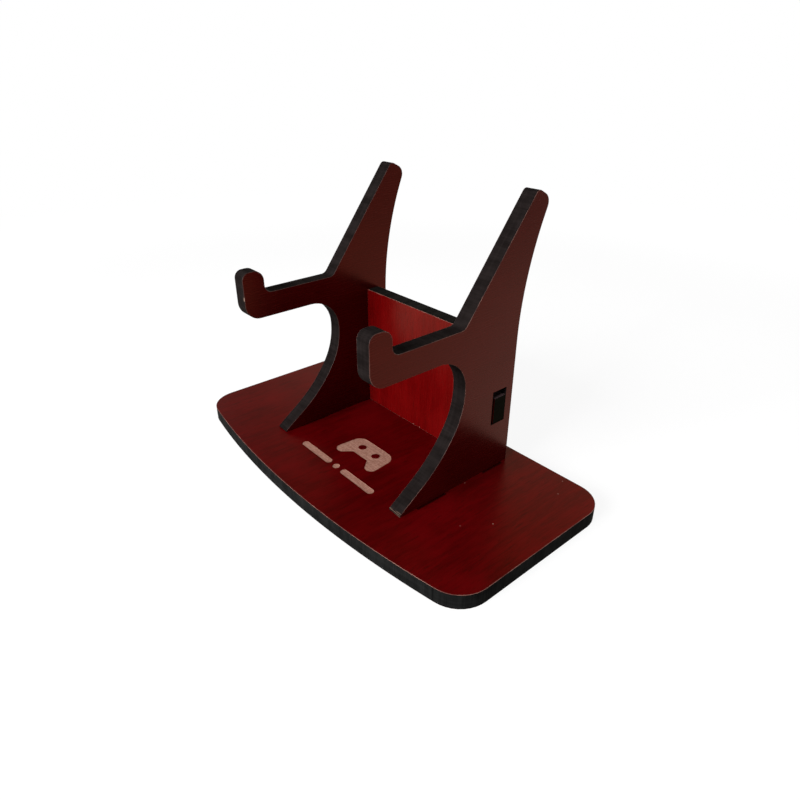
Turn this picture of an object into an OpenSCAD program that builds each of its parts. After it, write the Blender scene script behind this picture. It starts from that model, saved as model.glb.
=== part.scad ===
// Game controller stand: two identical hooked brackets stand on a base plate, and a cross panel ties
// them together at the back. All four pieces are cut from one board and slot together dry.
// X runs left to right, Y from front to back and Z up. The origin is on the underside of the base
// plate, midway between its sides and between its front and back edges.

/* [Board] */
// Thickness of the board that every piece is cut from
board_t = 6; // [4:0.5:9]

/* [Base plate] */
// Width of the base plate from side to side
base_w = 165; // [140:1:220]
// Depth of the base plate, from the middle of its bowed front edge to its back edge
base_d = 83.5; // [74:0.5:130]
// How far the front edge bows out between its two ends
base_bow = 8.2; // [2:0.2:16]
// Radius of the two front corners
base_front_r = 12.5; // [2:0.5:25]
// Radius of the two back corners
base_back_r = 11.5; // [2:0.5:25]

/* [Brackets] */
// Clear width between the two brackets
bracket_gap = 68.6; // [50:0.2:110]
// From the back edge of the base plate to the back edge of a bracket
bracket_inset = 7.8; // [6:0.2:12]
// Length of a bracket's foot along the base plate, from its back edge to the tip of its toe
foot_len = 55.9; // [50:0.1:62]
// Height of the blunt tip of the toe
toe_h = 0.8; // [0.4:0.1:3]
// Where the top of the foot bends up into the post, from the back edge
instep_y = 38; // [36:0.2:42]
// Height of that bend above the base plate
instep_z = 13.2; // [12:0.2:16]
// Radius of that bend
instep_r = 55; // [30:1:57]
// Width of the post at its narrowest, from front to back
post_w = 26; // [23:0.2:28]
// Height of the bend where the front of the post turns upright
shin_z = 30.4; // [29:0.2:32]
// Radius of that bend
shin_r = 29; // [15:1:31]
// Height of the arm's underside above the base plate
arm_z = 53.8; // [50:0.2:62]
// Thickness of the arm from its underside to the seat of the cradle
arm_t = 9.4; // [6:0.1:14]
// Radius where the post runs into the arm's underside
armpit_r = 13; // [4:0.2:15]
// Reach of the arm, from the back edge of the bracket to the front of its hook
arm_reach = 67.8; // [60:0.2:90]

/* [Cradle] */
// Height of the hook above the seat of the cradle
hook_h = 9.1; // [5:0.1:16]
// Thickness of the hook from front to back
hook_t = 8.9; // [6:0.1:12]
// Radius under the chin of the hook
chin_r = 6; // [2:0.5:8]
// Radius at the top front of the hook
hook_front_r = 3; // [1:0.5:4]
// Radius at the top back of the hook
hook_back_r = 4; // [1:0.5:4.5]
// Radius between the hook and the seat
notch_r = 3; // [1:0.5:4.5]
// Length of the flat seat, from the hook to the foot of the backrest
seat_len = 31.1; // [24:0.2:34]
// Radius between the seat and the backrest
vee_r = 3; // [1:0.5:6]
// Slope of the backrest above the level
rest_angle = 52.6; // [48:0.1:56]

/* [Backrest] */
// Height of the backrest's front corner above the base plate
rest_h = 104.3; // [96:0.2:112]
// Radius of that corner
rest_front_r = 2; // [0.6:0.2:3]
// Length of the sloping top edge between its two corners
top_len = 7.6; // [7:0.1:12]
// Slope of the top edge down towards the back
top_angle = 27; // [10:1:35]
// Radius of the top edge's back corner
rest_back_r = 3.6; // [1:0.2:4]
// Height at which the back edge bends over backwards
spine_z = 74.5; // [68:0.5:78]
// Radius of that bend
spine_r = 120; // [40:1:124]

/* [Cross panel] */
// Height of the cross panel above the base plate
panel_h = 53.9; // [45:0.1:62]
// From the back edge of a bracket to the back face of the cross panel
panel_inset = 4.3; // [3:0.1:9]
// Height of a tenon's underside above the base plate
tenon_z = 20.7; // [15:0.1:24]
// Height of a tenon from its underside to its top
tenon_h = 10.7; // [8:0.1:16]
// How far a tenon stands proud of the bracket's outer face
tenon_proud = 0.4; // [0:0.1:2]

/* [Joints] */
// From a bracket's back edge to the back of its rear tab
tab_back = 3.6; // [2:0.1:6]
// Width of the rear tab
rear_tab_w = 10; // [6:0.1:12]
// Width of the front tab
front_tab_w = 13; // [8:0.1:16]
// Space between the two tabs
tab_space = 21; // [16:0.1:24]
// How far a tab's end stays above the underside of the base plate
tab_short = 0.3; // [0.1:0.1:1]
// Clearance round a tab in its mortise, on each side
tab_clear = 0.3; // [0.1:0.05:0.6]
// Clearance round a tenon in its slot, on each side
slot_clear = 0.7; // [0.1:0.05:0.9]
// Extra room over a tenon, which the panel drops down into
slot_headroom = 2; // [0.5:0.1:3]

/* [Hidden] */

// Longest step and widest turn between two points of an arc
arc_step = 2;
arc_turn = 9;
// Share of an edge that the arcs at its two ends may use up between them
arc_share = 0.98;
// How far a cutter runs past the face that it cuts through
overrun = 1;

board_top = board_t;
base_back = base_d / 2;
base_front = -base_d / 2;
bracket_back = base_back - bracket_inset;
bracket_x = bracket_gap / 2 + board_t / 2;
panel_back = bracket_back - panel_inset;
seat_z = arm_z + arm_t;
hook_z = seat_z + hook_h;
hook_y = arm_reach - hook_t;
vee_y = hook_y - seat_len;
rest_y = vee_y - (rest_h - seat_z) / tan(rest_angle);
top_y = rest_y - top_len * cos(top_angle);
top_z = rest_h - top_len * sin(top_angle);
// The two tabs under a bracket, each as the place of its back edge and its width
tabs = [
    [tab_back, rear_tab_w],
    [tab_back + rear_tab_w + tab_space, front_tab_w],
];

// Points along an arc about a centre, from one angle to another
function arc(centre, r, from, to) =
    let (turn = to - from,
         steps = max(1, ceil(abs(turn) / arc_turn), ceil(abs(turn) * PI / 180 * r / arc_step)))
    [for (i = [0:steps]) let (a = from + turn * i / steps) centre + r * [cos(a), sin(a)]];

// Direction of a vector, in degrees
function heading(v) = atan2(v.y, v.x);

// The same turn, brought between -180 and 180 degrees
function short_turn(a) = a > 180 ? a - 360 : a < -180 ? a + 360 : a;

// Unit vector from one point towards another
function towards(from, to) = (to - from) / norm(to - from);

// Half the angle between the two edges that meet in a corner
function half_angle(before, corner, after) =
    acos(towards(corner, before) * towards(corner, after)) / 2;

// The corner between two neighbours, rounded by an arc that starts a setback away from it
function rounded_corner(before, corner, after, setback) =
    let (u = towards(corner, before),
         v = towards(corner, after),
         half = half_angle(before, corner, after),
         centre = corner + (u + v) / norm(u + v) * setback / cos(half),
         from = heading(corner + u * setback - centre),
         to = heading(corner + v * setback - centre))
    arc(centre, setback * tan(half), from, from + short_turn(to - from));

// A closed outline from corners that are each [y, z, radius]. Two arcs that would meet on an edge
// are made smaller, so that they share it.
function rounded(corners) =
    let (n = len(corners),
         at = [for (c = corners) [c[0], c[1]]],
         before = [for (i = [0:n - 1]) at[(i + n - 1) % n]],
         after = [for (i = [0:n - 1]) at[(i + 1) % n]],
         setback = [for (i = [0:n - 1]) corners[i][2] / tan(half_angle(before[i], at[i], after[i]))],
         edge_fit = [for (i = [0:n - 1]) let (used = setback[i] + setback[(i + 1) % n])
             used > 0 ? arc_share * norm(after[i] - at[i]) / used : 1],
         fit = [for (i = [0:n - 1]) min(1, edge_fit[i], edge_fit[(i + n - 1) % n])])
    [for (i = [0:n - 1])
        each corners[i][2] > 0
            ? rounded_corner(before[i], at[i], after[i], setback[i] * fit[i])
            : [at[i]]];

// The corners of a bracket, measured forwards from its back edge and upwards from the base plate
bracket_corners = [
    [0, 0, 0],
    [foot_len, 0, 0],
    [foot_len, toe_h, 0],
    [instep_y, instep_z, instep_r],
    [post_w, shin_z, shin_r],
    [post_w, arm_z, armpit_r],
    [arm_reach, arm_z, chin_r],
    [arm_reach, hook_z, hook_front_r],
    [hook_y, hook_z, hook_back_r],
    [hook_y, seat_z, notch_r],
    [vee_y, seat_z, vee_r],
    [rest_y, rest_h, rest_front_r],
    [top_y, top_z, rest_back_r],
    [0, spine_z, spine_r],
];

// The outline of the base plate: a bowed front edge, with each corner tangent to the edges it joins
module base_outline() {
    half = base_w / 2;
    bow_r = (half * half + base_bow * base_bow) / (2 * base_bow);
    bow_y = base_front + bow_r;
    corner_x = half - base_front_r;
    corner_y = bow_y - sqrt(pow(bow_r - base_front_r, 2) - corner_x * corner_x);
    swing = asin(corner_x / (bow_r - base_front_r));
    back_x = half - base_back_r;
    back_y = base_back - base_back_r;
    polygon(concat(
        arc([0, bow_y], bow_r, -90 - swing, -90 + swing),
        arc([corner_x, corner_y], base_front_r, -90 + swing, 0),
        arc([back_x, back_y], base_back_r, 0, 90),
        arc([-back_x, back_y], base_back_r, 90, 180),
        arc([-corner_x, corner_y], base_front_r, 180, 270 - swing)
    ));
}

// A tab's outline below a bracket, from its back and its width, widened on both sides by a clearance
module tab_profile(back, width, clear, depth) {
    translate([back - clear, -depth]) square([width + 2 * clear, depth]);
}

// The side view of a bracket, as a sheet
module bracket_profile() {
    difference() {
        polygon(rounded(bracket_corners));
        translate([panel_inset - slot_clear, tenon_z - slot_clear])
            square([board_t + 2 * slot_clear, tenon_h + 2 * slot_clear + slot_headroom]);
    }
    for (tab = tabs) tab_profile(tab[0], tab[1], 0, board_t - tab_short);
}

// Stands a side view upright, with its back edge at the brackets' back, as a board about x
module stand_up(x, thickness) {
    translate([x - thickness / 2, bracket_back, board_top])
        rotate([90, 0, 90])
            linear_extrude(thickness) mirror([1, 0]) children();
}

module bracket(x) {
    color("#4a1713") stand_up(x, board_t) bracket_profile();
}

module left_bracket() {
    bracket(-bracket_x);
}

module right_bracket() {
    bracket(bracket_x);
}

// The base plate, with a mortise through it for each tab
module base_plate() {
    color("#5a1512") difference() {
        linear_extrude(board_t) base_outline();
        for (x = [-bracket_x, bracket_x])
            stand_up(x, board_t + 2 * tab_clear)
                for (tab = tabs)
                    translate([0, overrun])
                        tab_profile(tab[0], tab[1], tab_clear, board_t + 2 * overrun);
    }
}

// The cross panel between the brackets, with a tenon through each of them
module cross_panel() {
    tenon_w = bracket_gap + 2 * (board_t + tenon_proud);
    color("#6d1513") translate([0, panel_back, board_top])
        rotate([90, 0, 0])
            linear_extrude(board_t) {
                translate([-bracket_gap / 2, 0]) square([bracket_gap, panel_h]);
                translate([-tenon_w / 2, tenon_z]) square([tenon_w, tenon_h]);
            }
}

base_plate();
left_bracket();
right_bracket();
cross_panel();
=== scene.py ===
"""Looks for the game controller stand: four boards faced with a red mahogany film, cut by laser.

Each board is rebuilt from its own solid with softened arrises, and gets its finishes: the film on its
two faces, the scorched cut round its edge, and the thin pale line where the film was cut through. The
base plate also carries a plain engraved mark.
"""
import math

import bmesh
import bpy
from mathutils import Matrix, Vector


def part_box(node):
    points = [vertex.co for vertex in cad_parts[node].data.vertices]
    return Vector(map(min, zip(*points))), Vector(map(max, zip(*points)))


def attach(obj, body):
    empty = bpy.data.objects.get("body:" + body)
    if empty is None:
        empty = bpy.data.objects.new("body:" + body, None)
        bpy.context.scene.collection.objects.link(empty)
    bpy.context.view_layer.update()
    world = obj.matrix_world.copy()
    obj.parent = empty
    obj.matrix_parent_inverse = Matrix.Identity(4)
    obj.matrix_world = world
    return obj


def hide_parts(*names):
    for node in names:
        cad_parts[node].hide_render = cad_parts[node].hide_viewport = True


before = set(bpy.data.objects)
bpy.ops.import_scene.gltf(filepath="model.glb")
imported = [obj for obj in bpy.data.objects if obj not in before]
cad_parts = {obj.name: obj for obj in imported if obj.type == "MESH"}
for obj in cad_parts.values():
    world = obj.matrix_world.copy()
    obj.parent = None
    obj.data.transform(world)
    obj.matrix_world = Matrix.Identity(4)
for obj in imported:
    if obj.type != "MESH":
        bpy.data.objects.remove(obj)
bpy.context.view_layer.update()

MM = 0.001

# The boards' arrises, and how near to another board an edge counts as hidden in a joint
ARRIS_WIDTH = 0.13 * MM
ARRIS_SEGMENTS = 2
JOINT_REACH = 0.75 * MM

# How far past a bracket's inner face a tenon is wholly in its slot
TENON_ROOT = 0.2 * MM

# How a solid's mesh is cleaned, from which angle an edge is an arris, and where the shading breaks
MERGE = 0.001 * MM
FLAT_ANGLE = math.radians(0.2)
SHARP_ANGLE = math.radians(40)
SMOOTH_ANGLE = math.radians(20)

# How squarely a face looks out of its board: a film at least this much, and a cut at most this much
FILM_FACING = 0.99
CUT_FACING = 0.05

# Places of a face's finish among a board's materials
FILM = 0
CUT = 1
LINE = 2
ENGRAVED = 3

# The mark on the base plate: a plain gamepad over two bars and a dot. The stamps that cut it reach a
# little above the board
MARK_DEPTH = 0.15 * MM
MARK_OVERRUN = 1 * MM
MARK_FACETS = 40
PAD_CENTRE = Vector((0.5, -6.2)) * MM
PAD_SHOULDER = Vector((6.6, 1.8)) * MM
PAD_SHOULDER_R = 4.8 * MM
PAD_GRIP = Vector((9.3, -4.6)) * MM
PAD_GRIP_R = 2.7 * MM
PAD_STICK = Vector((4.3, 1.6)) * MM
PAD_STICK_R = 1.7 * MM
BARS_Y = -20.6 * MM
BAR_INNER_X = 5.2 * MM
BAR_OUTER_X = 21.5 * MM
BAR_R = 1.5 * MM

# Pale flecks of dust: on the base plate, as x and y in mm and a strength, and at the foot of the
# cross panel, as x in mm and a strength
BASE_FLECKS = [
    (40.9, 9.9, 0.8),
    (63.7, 0.4, 0.85),
    (57.0, -9.0, 0.35),
    (64.4, 39.0, 0.6),
    (68.1, 31.3, 0.6),
]
FOOT_FLECKS = [(-3.7, 0.8), (0.2, 0.6)]
FOOT_FLECK_HEIGHT = 0.3 * MM
FLECK_R = 0.34 * MM
DUST = (0.30, 0.16, 0.13, 1)

# Where the laser started on the base plate's front edge, from its right side, and the mark's half width
# at full and at no strength
START_MARK_INSET = 11 * MM
START_MARK_HALF = (0.2 * MM, 0.4 * MM)

# A chip in the left hook's inner arris, and the frayed tip of the right bracket's toe
CHIP_HEIGHT = 68.6 * MM
CHIP_R = 1.2 * MM
CHIP_RAGGED = 0.8 * MM
CHIP_GRAIN = (0.5 * MM, 0.5 * MM, 1.2 * MM)
CHIP_FIBRE = (0.22, 0.14, 0.11, 1)
TOE_TIP_Y = -21.95 * MM
TOE_FRAY = 1.2 * MM
TOE_GRAIN = (5 * MM, 0.42 * MM, 0.3 * MM)
TOE_FIBRE = (0.15, 0.095, 0.07, 1)

# Where the film is darkened beside the mortises, as singe and as painted contact shadow at the brackets'
# feet: how far out from a bracket's outer face, how wide, and each mortise's middle and half length along Y
RIM_OUT = 0.55 * MM
RIM_WIDTH = 0.7 * MM
MORTISES = [(-7.15 * MM, 6.8 * MM), (25.35 * MM, 5.3 * MM)]

# The height of the tenons' tops, and what shows at the slots: darker ends, and tops painted paler than the
# slots' shade, a painted light
TENON_TOP = 37.4 * MM
TENON_END_DARK = (0.0082, 0.0074, 0.0050, 1)
TENON_TOP_PAINTED_LIGHT = (0.070, 0.044, 0.046, 1)

# The film's grain, along its run and across it: slow bands, fine streaks, short pores and even clouds
BAND = (55 * MM, 3.6 * MM)
STREAK = (8 * MM, 0.65 * MM)
PORE = (5.5 * MM, 0.42 * MM)
CLOUD = 22 * MM
GRAIN_RELIEF = 0.003 * MM

# The cut's striations, through the thickness and across it, and its relief
CUT_LINE = (14 * MM, 0.35 * MM)
CUT_WAVE = (9 * MM, 3.2 * MM)
CUT_LAYER = (1.1 * MM, 26 * MM)
CUT_RELIEF = 0.03 * MM

# The char on each kind of board, at its darkest and at its palest
BASE_CHAR = ((0.0066, 0.0067, 0.0066), (0.0148, 0.0151, 0.0149))
BRACKET_CHAR = ((0.0076, 0.0058, 0.0055), (0.0169, 0.0131, 0.0127))
PANEL_CHAR = ((0.0058, 0.0052, 0.0046), (0.0130, 0.0118, 0.0106))

# How large the worn stretches of the film's thin edge are
WEAR = 5 * MM

# The fibre that the engraving bares: its passes and its clumps, and its darkest and palest tones
ENGRAVED_PASS = (9 * MM, 0.22 * MM, 9 * MM)
ENGRAVED_CLUMP = 0.9 * MM
ENGRAVED_FIBRE = ((0.27, 0.125, 0.088, 1), (0.42, 0.225, 0.168, 1))

# The camera of the photograph
CAMERA_PLACE = Vector((169.6, -133.7, 148.6)) * MM
CAMERA_AZIMUTH = math.radians(49.2)
CAMERA_ELEVATION = math.radians(29.13)
CAMERA_ROLL = math.radians(0.09)
SENSOR = 36
LENS = 28.03
CLIP_START = 10 * MM

# The even light all round, and the warm white of the floor and the wall in a gloss
WORLD_LEVEL = 0.05
GLOSS_WHITE = (1.0, 0.93, 0.78, 1)

# The white wall that a gloss shows: where it is, how steeply it rises, its soft edges and its level
WALL_FACING = Vector((-0.15, 0.985))
WALL_RISE = 1.07
WALL_TOP = (-0.05, 0.08)
WALL_SIDES = (0.28, 0.8)
WALL_LEVEL = 1.1

# The floor: half its width, its drop below the stand, its grey to the light and to the eye, its glow
# in the picture close by, its glow in a gloss close by and far off, and where it turns plain white
FLOOR_REACH = 6.0
FLOOR_DROP = 0.02 * MM
FLOOR_GREY = 0.3
FLOOR_SHADED = 0.16
FLOOR_LIFT = 0.88
FLOOR_GLOSS = (0.7, 0.4)
FLOOR_NEAR = 0.2
FLOOR_FAR = 0.6

# Where the lamps aim, and the ends of the grey scale
LAMP_AIM = Vector((0, 0, 0.05))
BLACK = (0, 0, 0, 1)
WHITE = (1, 1, 1, 1)


class Field:
    """A socket in a shader. Arithmetic on it adds Math nodes."""

    def __init__(self, shader, socket):
        self.shader = shader
        self.socket = socket

    def maths(self, operation, *values):
        return self.shader.node(
            "ShaderNodeMath", {"operation": operation}, dict(enumerate(values))
        )

    def __add__(self, other):
        return self.maths("ADD", self, other)

    def __sub__(self, other):
        return self.maths("SUBTRACT", self, other)

    def __rsub__(self, other):
        return self.maths("SUBTRACT", other, self)

    def __mul__(self, other):
        return self.maths("MULTIPLY", self, other)

    def __abs__(self):
        return self.maths("ABSOLUTE", self)

    def span(self, low, high, start=0.0, end=1.0):
        """Brings the stretch from low to high smoothly to the stretch from start to end."""
        return self.shader.node(
            "ShaderNodeMapRange",
            {"interpolation_type": "SMOOTHSTEP", "clamp": True},
            {0: self, 1: low, 2: high, 3: start, 4: end},
        )


class Shader:
    """The nodes of one material or world."""

    def __init__(self, owner):
        self.owner = owner
        owner.use_nodes = True
        self.tree = owner.node_tree
        self.tree.nodes.clear()
        self.place = self.node("ShaderNodeTexCoord", output="Object")

    def node(self, kind, settings=None, inputs=None, output=0):
        node = self.tree.nodes.new(kind)
        for key, value in (settings or {}).items():
            setattr(node, key, value)
        for key, value in (inputs or {}).items():
            if isinstance(value, Field):
                self.tree.links.new(value.socket, node.inputs[key])
            else:
                node.inputs[key].default_value = value
        return Field(self, node.outputs[output])

    def axis(self, letter):
        return self.node("ShaderNodeSeparateXYZ", inputs={0: self.place}, output=letter)

    def distance(self, point):
        """How far a place is from a point."""
        return self.node(
            "ShaderNodeVectorMath",
            {"operation": "DISTANCE"},
            {0: self.place, 1: point},
            output="Value",
        )

    def noise(self, size, detail, seed, roughness=0.5, warp=0.0):
        """Noise from 0 to 1, with blotches of the given size in metres along X, Y and Z."""
        stretched = self.node(
            "ShaderNodeMapping",
            inputs={
                "Vector": self.place,
                "Location": (seed, seed * 0.7, seed * 1.3),
                "Scale": tuple(1 / s for s in size),
            },
        )
        return self.node(
            "ShaderNodeTexNoise",
            inputs={
                "Vector": stretched,
                "Scale": 1.0,
                "Detail": detail,
                "Roughness": roughness,
                "Distortion": warp,
            },
        )

    def mix(self, factor, first, second):
        """A colour between two others."""
        return self.node(
            "ShaderNodeMix",
            {"data_type": "RGBA"},
            {"Factor": factor, 6: first, 7: second},
            output=2,
        )

    def bump(self, height, depth, strength):
        return self.node(
            "ShaderNodeBump",
            inputs={"Height": height, "Distance": depth, "Strength": strength},
        )

    def rays(self):
        """1 for the rays that show a thing in the picture or through glass, and 1 for those in a gloss."""
        path = "ShaderNodeLightPath"
        camera = self.node(path, output="Is Camera Ray")
        through = self.node(path, output="Is Transmission Ray")
        return camera + through, self.node(path, output="Is Glossy Ray")

    def finish(self, **sockets):
        """Closes a material with a Principled BSDF that has the given sockets."""
        surface = self.node(
            "ShaderNodeBsdfPrincipled",
            inputs={key.replace("_", " "): value for key, value in sockets.items()},
        )
        out = self.tree.nodes.new("ShaderNodeOutputMaterial")
        self.tree.links.new(surface.socket, out.inputs["Surface"])
        return self.owner


def material_shader(name):
    return Shader(bpy.data.materials.new(name))


def rgba(colour, gain=1.0):
    return (*(c * gain for c in colour), 1)


def along(axis, run, width):
    """Blotches that run along one axis and are narrow across it."""
    return [run if letter == axis else width for letter in "XYZ"]


def mortise_singe_and_painted_shadow(s):
    """1 beside the mortises, where the film is darkened as singe and as painted contact shadow at the
    brackets' feet.
    """
    across = abs(abs(s.axis("X")) - rim_x).span(RIM_WIDTH * 0.5, RIM_WIDTH * 0.8, 1.0, 0.0)
    ends = [
        abs(s.axis("Y") - middle).span(half, half + RIM_WIDTH, 1.0, 0.0)
        for middle, half in MORTISES
    ]
    return across * (ends[0] + ends[1])


def tenon_sides(s):
    """1 on a tenon, where it is in its slot."""
    inner_x = -left_box[1].x
    return abs(s.axis("X")).span(inner_x, inner_x + TENON_ROOT)


def mahogany_film(name, grain, dark, mid, light, coat, depth, shade=None, flecks=()):
    """Printed mahogany film: short dark pores, of a given depth, in slow tonal bands.

    The coat is a specular level, its tint and a roughness. The shade is a mask of where the film is
    darkened: singe and painted contact shadow beside the mortises, and painted shade on the tenons in their
    slots. Each fleck is a place and a strength.
    """
    specular, tint, satin = coat
    s = material_shader(name)
    bands = s.noise(along(grain, *BAND), detail=3, seed=3.1, warp=0.6)
    streaks = s.noise(along(grain, *STREAK), detail=4, seed=7.7, roughness=0.6, warp=0.4)
    pores = s.noise(along(grain, *PORE), detail=2, seed=1.9, warp=0.3)
    cloud = s.noise([CLOUD] * 3, detail=4, seed=5.3)

    tone = (bands * 0.5 + streaks * 0.5).span(0.37, 0.63)
    colour = s.mix(tone, rgba(dark), rgba(mid))
    colour = s.mix(cloud.span(0.42, 0.70, 0.0, 0.7), colour, rgba(light))
    pore = pores.span(0.58, 0.70)
    colour = s.mix(pore * depth, colour, rgba(dark, 0.5))
    for fleck, strength in flecks:
        spot = s.distance(fleck).span(FLECK_R * 0.4, FLECK_R, strength, 0.0)
        colour = s.mix(spot, colour, DUST)
    # Painted shade, and singe beside the mortises: the shade mask darkens the film
    if shade:
        colour = s.mix(shade(s) * 0.85, colour, rgba(dark, 0.1))
    return s.finish(
        Base_Color=colour,
        Roughness=streaks.span(0.3, 0.7, satin, satin + 0.04) + pore * 0.06,
        Normal=s.bump(tone * 0.4 - pore * depth * 2, GRAIN_RELIEF, 0.5),
        Specular_IOR_Level=specular,
        Specular_Tint=rgba(tint),
    )


def chipped(s, colour):
    """Shows bare fibre where the left hook's arris is chipped."""
    ragged = s.noise(CHIP_GRAIN, detail=2, seed=4.2) * CHIP_RAGGED
    chip = (s.distance(chip_place) + ragged).span(CHIP_R * 0.7, CHIP_R * 1.2, 1.0, 0.0)
    return s.mix(chip, colour, CHIP_FIBRE)


def scorched_cut(name, through, low, high):
    """The laser's cut: charcoal, with striations through the thickness and darker layers.

    Gives the shader with the cut's colour, tone and relief, which close_cut finishes.
    """
    s = material_shader(name)
    lines = s.noise(along(through, *CUT_LINE), detail=2, seed=2.3)
    waves = s.noise(along(through, *CUT_WAVE), detail=2, seed=6.1)
    layers = s.noise(along(through, *CUT_LAYER), detail=2, seed=4.4)
    tone = (lines * 0.35 + waves * 0.4 + layers * 0.25).span(0.34, 0.66)
    colour = s.mix(tone, rgba(low), rgba(high))
    return s, colour, tone, lines * 0.7 + layers * 0.3


def close_cut(s, colour, tone, relief):
    """Closes a cut's material: dull charcoal, rougher where it is darker."""
    return s.finish(
        Base_Color=colour,
        Roughness=tone.span(0.0, 1.0, 0.62, 0.5),
        Normal=s.bump(relief, CUT_RELIEF, 0.5),
        Specular_IOR_Level=0.003,
    )


def base_cut_finish():
    """The base plate's cut, with the dark line where the laser started on the front edge."""
    s, colour, tone, relief = scorched_cut("base_cut", "Z", *BASE_CHAR)
    line = abs(s.axis("X") - start_mark_x).span(*START_MARK_HALF, 1.0, 0.0)
    front = s.axis("Y").span(-2 * MM, 0.0, 1.0, 0.0)
    colour = s.mix(line * front * 0.7, colour, rgba(BASE_CHAR[0], 0.4))
    return close_cut(s, colour, tone, relief)


def bracket_cut_finish():
    """A bracket's cut, with pale frayed layers at the tip of the right toe and a chip in the left hook."""
    s, colour, tone, relief = scorched_cut("bracket_cut", "X", *BRACKET_CHAR)
    tip = s.axis("Y").span(TOE_TIP_Y + TOE_FRAY * 0.7, TOE_TIP_Y + TOE_FRAY, 1.0, 0.0)
    low = s.axis("Z").span(board_top + TOE_FRAY, board_top + TOE_FRAY * 1.3, 1.0, 0.0)
    right = s.axis("X").span(0.0, 1 * MM)
    fibres = s.noise(TOE_GRAIN, detail=2, seed=9.4).span(0.44, 0.60)
    colour = s.mix(tip * low * right * fibres * 0.6, colour, TOE_FIBRE)
    return close_cut(s, chipped(s, colour), tone, relief)


def panel_cut_finish():
    """The panel's cut, with the tenons' darker ends, and their tops painted paler as painted light against
    the shade in the slots.
    """
    s, colour, tone, relief = scorched_cut("panel_cut", "Y", *PANEL_CHAR)
    tenon = tenon_sides(s)
    top = s.axis("Z").span(TENON_TOP - 0.2 * MM, TENON_TOP - 0.05 * MM)
    colour = s.mix(tenon * (1 - top), colour, TENON_END_DARK)
    # Painted light: the tenons' tops in the slots are painted paler than the slots' shade
    colour = s.mix(tenon * top, colour, TENON_TOP_PAINTED_LIGHT)
    return close_cut(s, colour, tone, relief)


def cut_film_line(name, dark, pale, left_share=1.0):
    """The film's own thin edge at an arris: pale where it is clean, brown where it is singed. Its pale tone
    is in part a painted highlight, for the light the arris catches.

    Left of the middle, it is only a share as pale.
    """
    s = material_shader(name)
    wear = s.noise([WEAR] * 3, detail=4, seed=8.8, roughness=0.65).span(0.35, 0.65)
    share = s.axis("X").span(-1 * MM, 1 * MM, left_share, 1.0)
    colour = chipped(s, s.mix(wear * share, rgba(dark), rgba(pale)))
    return s.finish(Base_Color=colour, Roughness=0.55, Specular_IOR_Level=0.3)


def engraved_fibre():
    """The engraving's floor: bare pale fibre, streaked by the engraving passes."""
    s = material_shader("engraved_fibre")
    passes = s.noise(ENGRAVED_PASS, detail=1, seed=1.2)
    fibre = s.noise([ENGRAVED_CLUMP] * 3, detail=3, seed=3.6)
    tone = (passes * 0.5 + fibre * 0.5).span(0.36, 0.64)
    return s.finish(
        Base_Color=s.mix(tone, *ENGRAVED_FIBRE),
        Roughness=0.8,
        Normal=s.bump(tone, CUT_RELIEF, 0.6),
        Specular_IOR_Level=0.2,
    )


def grown(box, reach):
    """A box with room added on every side."""
    low, high = (Vector(corner) for corner in box)
    return low - Vector([reach] * 3), high + Vector([reach] * 3)


def tenon_room(box):
    """Where a tenon runs past the inner face of a bracket."""
    low, high = grown(box, JOINT_REACH * 2)
    if box[0].x > 0:
        low.x = box[0].x + TENON_ROOT
    else:
        high.x = box[1].x - TENON_ROOT
    return low, high


def inside(box, point):
    return all(box[0][i] < point[i] < box[1][i] for i in range(3))


def add_piece(name, mesh):
    piece = bpy.data.objects.new(name, mesh)
    bpy.context.scene.collection.objects.link(piece)
    return piece


def board(node, thickness_axis, finishes, joints):
    """A board rebuilt from its solid. Its arrises are softened, but for those hidden in joints."""
    shape = bmesh.new()
    shape.from_mesh(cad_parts[node].data)
    bmesh.ops.remove_doubles(shape, verts=shape.verts, dist=MERGE)
    bmesh.ops.dissolve_limit(
        shape, angle_limit=FLAT_ANGLE, verts=shape.verts, edges=shape.edges
    )
    axis = Vector([float(letter == thickness_axis) for letter in "XYZ"])
    arrises = []
    for edge in shape.edges:
        middle = (edge.verts[0].co + edge.verts[1].co) / 2
        hidden = any(inside(joint, middle) for joint in joints)
        if edge.is_manifold and edge.calc_face_angle_signed() > SHARP_ANGLE and not hidden:
            arrises.append(edge)
    bmesh.ops.bevel(
        shape,
        geom=arrises,
        offset=ARRIS_WIDTH,
        offset_type="OFFSET",
        affect="EDGES",
        segments=ARRIS_SEGMENTS,
        profile=0.5,
        material=-1,
        clamp_overlap=True,
    )
    for face in shape.faces:
        facing = abs(face.normal.dot(axis))
        face.material_index = FILM if facing > FILM_FACING else CUT if facing < CUT_FACING else LINE
        face.smooth = True
    mesh = bpy.data.meshes.new(node + "_board")
    shape.to_mesh(mesh)
    shape.free()
    # The solid's own shading normals don't fit the new faces
    if mesh.has_custom_normals:
        mesh.attributes.remove(mesh.attributes["custom_normal"])
    for finish in finishes:
        mesh.materials.append(finish)
    mesh.set_sharp_from_angle(angle=SMOOTH_ANGLE)
    piece = add_piece(node + "_board", mesh)
    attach(piece, "root")
    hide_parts(node)
    return piece


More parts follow.
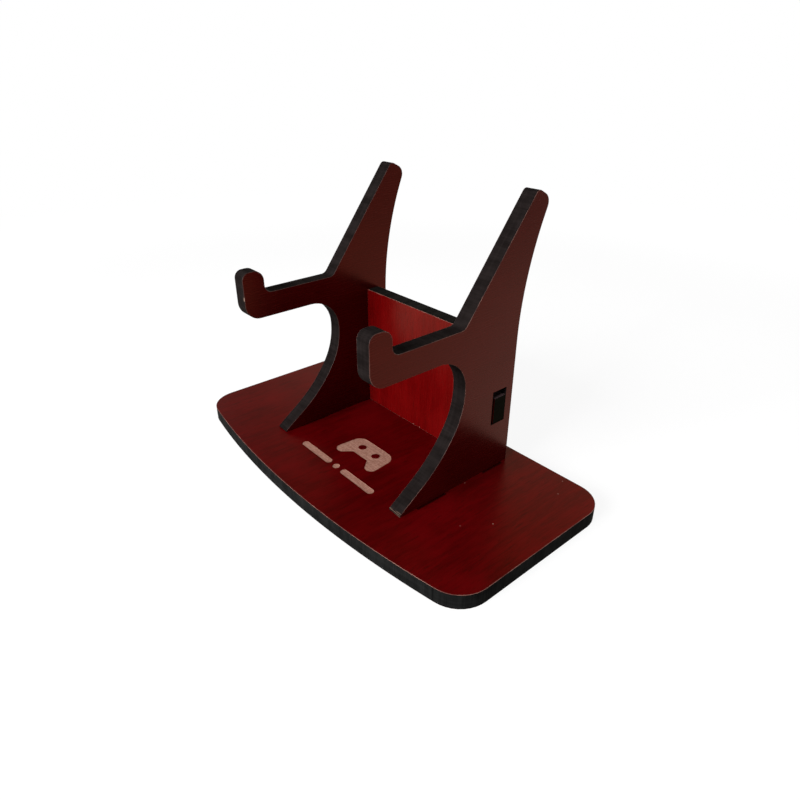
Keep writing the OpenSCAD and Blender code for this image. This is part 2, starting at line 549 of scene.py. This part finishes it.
def stamp(discs):
    """A flat stamp across the base plate's top, in the shape of a band stretched round some discs."""
    shape = bmesh.new()
    for centre, radius in discs:
        for z in (board_top - MARK_DEPTH, board_top + MARK_OVERRUN):
            bmesh.ops.create_circle(
                shape,
                segments=MARK_FACETS,
                radius=radius,
                matrix=Matrix.Translation((centre.x, centre.y, z)),
            )
    bmesh.ops.convex_hull(shape, input=shape.verts)
    inner = [edge for edge in shape.edges if not edge.link_faces]
    bmesh.ops.delete(shape, geom=inner, context="EDGES")
    loose = [vert for vert in shape.verts if not vert.link_faces]
    bmesh.ops.delete(shape, geom=loose, context="VERTS")
    bmesh.ops.dissolve_limit(
        shape, angle_limit=FLAT_ANGLE, verts=shape.verts, edges=shape.edges
    )
    bmesh.ops.recalc_face_normals(shape, faces=shape.faces)
    for face in shape.faces:
        face.material_index = ENGRAVED
    mesh = bpy.data.meshes.new("stamp")
    shape.to_mesh(mesh)
    shape.free()
    for finish in base_finishes:
        mesh.materials.append(finish)
    return add_piece("stamp", mesh)


def combine(piece, tool, operation):
    """Joins a tool to a piece, or cuts it away, and leaves the piece a plain mesh."""
    step = piece.modifiers.new("combine", "BOOLEAN")
    step.operation = operation
    step.object = tool
    step.solver = "EXACT"
    step.material_mode = "INDEX"
    bpy.context.view_layer.update()
    shown = piece.evaluated_get(bpy.context.evaluated_depsgraph_get())
    mesh = bpy.data.meshes.new_from_object(shown)
    piece.modifiers.clear()
    piece.data = mesh
    bpy.data.objects.remove(tool)


def gamepad_stamp():
    """The outline of a plain gamepad: a body and two grips, with its two sticks left standing."""
    sides = (Vector((1, 1)), Vector((-1, 1)))
    shoulders = [(PAD_CENTRE + PAD_SHOULDER * side, PAD_SHOULDER_R) for side in sides]
    pad = stamp(shoulders)
    for shoulder, side in zip(shoulders, sides):
        combine(pad, stamp([shoulder, (PAD_CENTRE + PAD_GRIP * side, PAD_GRIP_R)]), "UNION")
    for side in sides:
        combine(pad, stamp([(PAD_CENTRE + PAD_STICK * side, PAD_STICK_R)]), "DIFFERENCE")
    return pad


def bar_stamp(start_x, end_x):
    return stamp([(Vector((x, BARS_Y)), BAR_R) for x in (start_x, end_x)])


def engrave(piece):
    """Sinks the mark into the base plate."""
    combine(piece, gamepad_stamp(), "DIFFERENCE")
    combine(piece, bar_stamp(-BAR_OUTER_X, -BAR_INNER_X), "DIFFERENCE")
    combine(piece, bar_stamp(BAR_INNER_X, BAR_OUTER_X), "DIFFERENCE")
    combine(piece, stamp([(Vector((0, BARS_Y)), BAR_R)]), "DIFFERENCE")
    piece.data.name = piece.name
    piece.data.set_sharp_from_angle(angle=SMOOTH_ANGLE)


plate_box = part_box("base_plate")
left_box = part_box("left_bracket")
right_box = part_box("right_bracket")
panel_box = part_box("cross_panel")
board_top = plate_box[1].z
panel_front = panel_box[0].y
rim_x = right_box[1].x + RIM_OUT
start_mark_x = plate_box[1].x - START_MARK_INSET
chip_place = Vector((left_box[1].x, left_box[0].y, CHIP_HEIGHT))

# One mahogany film on every board, at three levels: the brackets' darker film is in part painted shade and
# the panel's lighter film in part painted light, for how the light falls on each board
base_film = mahogany_film(
    "base_film",
    "Y",
    dark=(0.052, 0.0002, 0.0007),
    mid=(0.088, 0.0003, 0.0012),
    light=(0.104, 0.0006, 0.0018),
    coat=(0.06, (4.5, 0.9, 0), 0.31),
    depth=0.6,
    # Painted contact shadow and singe beside the brackets' feet
    shade=mortise_singe_and_painted_shadow,
    flecks=[(Vector((x * MM, y * MM, board_top)), level) for x, y, level in BASE_FLECKS],
)
bracket_film = mahogany_film(
    "bracket_film",
    "Y",
    dark=(0.034, 0.0003, 0.0004),
    mid=(0.043, 0.0006, 0.0006),
    light=(0.050, 0.0010, 0.0010),
    coat=(0.13, (4.4, 0.9, 0.6), 0.24),
    depth=0.22,
)
panel_film = mahogany_film(
    "panel_film",
    "Z",
    dark=(0.084, 0.0004, 0.0008),
    mid=(0.111, 0.0008, 0.0012),
    light=(0.125, 0.0020, 0.0020),
    coat=(0.24, (1, 0.3, 0.1), 0.24),
    depth=0.4,
    # Painted shade on the tenons' film inside the slots
    shade=tenon_sides,
    flecks=[
        (Vector((x * MM, panel_front, board_top + FOOT_FLECK_HEIGHT)), level)
        for x, level in FOOT_FLECKS
    ],
)
# The pale tones of the films' thin edges are in part painted highlight
base_line = cut_film_line("base_line", (0.11, 0.032, 0.024), (0.22, 0.10, 0.078))
bracket_line = cut_film_line(
    "bracket_line", (0.034, 0.008, 0.006), (0.13, 0.056, 0.043), left_share=0.3
)

base_finishes = (base_film, base_cut_finish(), base_line, engraved_fibre())
bracket_finishes = (bracket_film, bracket_cut_finish(), bracket_line)
panel_finishes = (panel_film, panel_cut_finish(), base_line)

base_joints = [grown(left_box, JOINT_REACH), grown(right_box, JOINT_REACH)]
bracket_joints = [grown(plate_box, JOINT_REACH), grown(panel_box, JOINT_REACH)]
panel_joints = [tenon_room(left_box), tenon_room(right_box)]

base_board = board("base_plate", "Z", base_finishes, base_joints)
left_board = board("left_bracket", "X", bracket_finishes, bracket_joints)
right_board = board("right_bracket", "X", bracket_finishes, bracket_joints)
panel_board = board("cross_panel", "Y", panel_finishes, panel_joints)
engrave(base_board)


def add_camera():
    """Stands the camera where the photograph was taken from."""
    data = bpy.data.cameras.new("photo_camera")
    data.sensor_width = SENSOR
    data.lens = LENS
    data.clip_start = CLIP_START
    camera = bpy.data.objects.new("photo_camera", data)
    bpy.context.scene.collection.objects.link(camera)
    turn = (
        Matrix.Rotation(CAMERA_AZIMUTH, 4, "Z")
        @ Matrix.Rotation(math.radians(90) - CAMERA_ELEVATION, 4, "X")
        @ Matrix.Rotation(CAMERA_ROLL, 4, "Z")
    )
    camera.matrix_world = Matrix.Translation(CAMERA_PLACE) @ turn
    bpy.context.scene.camera = camera


def add_lamp(name, place, power, size=(0.5, 0.4)):
    """A soft box of a given power in watts, turned to face the stand."""
    data = bpy.data.lights.new(name, "AREA")
    data.shape = "RECTANGLE"
    data.size, data.size_y = size
    data.energy = power
    lamp = bpy.data.objects.new(name, data)
    bpy.context.scene.collection.objects.link(lamp)
    lamp.location = place
    lamp.rotation_euler = (Vector(place) - LAMP_AIM).to_track_quat("Z", "Y").to_euler()


def add_floor():
    """A wide white floor that takes the stand's shadow near it, and glows plain white further off."""
    shape = bmesh.new()
    bmesh.ops.create_grid(shape, x_segments=1, y_segments=1, size=FLOOR_REACH)
    mesh = bpy.data.meshes.new("floor")
    shape.to_mesh(mesh)
    shape.free()
    floor = add_piece("floor", mesh)
    floor.location = (0, 0, -FLOOR_DROP)
    s = material_shader("floor_white")
    far = s.distance((0, 0, 0)).span(FLOOR_NEAR, FLOOR_FAR)
    shown, glossy = s.rays()
    seen = shown + glossy
    lift = shown * far.span(0.0, 1.0, FLOOR_LIFT, 1.0) + glossy * far.span(0.0, 1.0, *FLOOR_GLOSS)
    glow = lift + (1 - seen) * far * FLOOR_GREY * WORLD_LEVEL
    grey = (seen * FLOOR_SHADED + (1 - seen) * FLOOR_GREY) * (1 - far)
    white = s.finish(
        Base_Color=s.mix(grey, BLACK, WHITE),
        Roughness=1.0,
        Specular_IOR_Level=0.0,
        Emission_Color=s.mix(glow, BLACK, s.mix(glossy, WHITE, GLOSS_WHITE)),
        Emission_Strength=1.0,
    )
    mesh.materials.append(white)


def add_world():
    """Even studio light. The picture shows plain white, and a gloss shows a white wall behind the stand."""
    bpy.context.scene.world = bpy.data.worlds.new("studio")
    s = Shader(bpy.context.scene.world)
    facing = s.axis("X") * WALL_FACING.x + s.axis("Y") * WALL_FACING.y
    wall = (facing * WALL_RISE - s.axis("Z")).span(*WALL_TOP) * facing.span(*WALL_SIDES)
    shown, glossy = s.rays()
    level = shown + glossy * wall * WALL_LEVEL + (1 - shown - glossy) * WORLD_LEVEL
    colour = s.mix(glossy, WHITE, GLOSS_WHITE)
    sky = s.node("ShaderNodeBackground", inputs={"Color": colour, "Strength": level})
    out = s.tree.nodes.new("ShaderNodeOutputWorld")
    s.tree.links.new(sky.socket, out.inputs["Surface"])


add_camera()
add_world()
add_floor()
add_lamp("front_softbox", (0.0, -0.90, 0.45), 14.0)
add_lamp("front_left_softbox", (-0.45, -0.85, 0.20), 2.0)
add_lamp("right_softbox", (0.95, 0.10, 0.14), 1.7, size=(0.5, 0.2))
add_lamp("back_softbox", (0.1, 0.95, 0.2), 4.0)
add_lamp("top_softbox", (0.1, 0.0, 0.9), 1.2, size=(0.4, 0.4))
add_lamp("left_softbox", (-0.9, 0.0, 0.3), 1.0)
bpy.context.scene.view_settings.view_transform = "Standard"
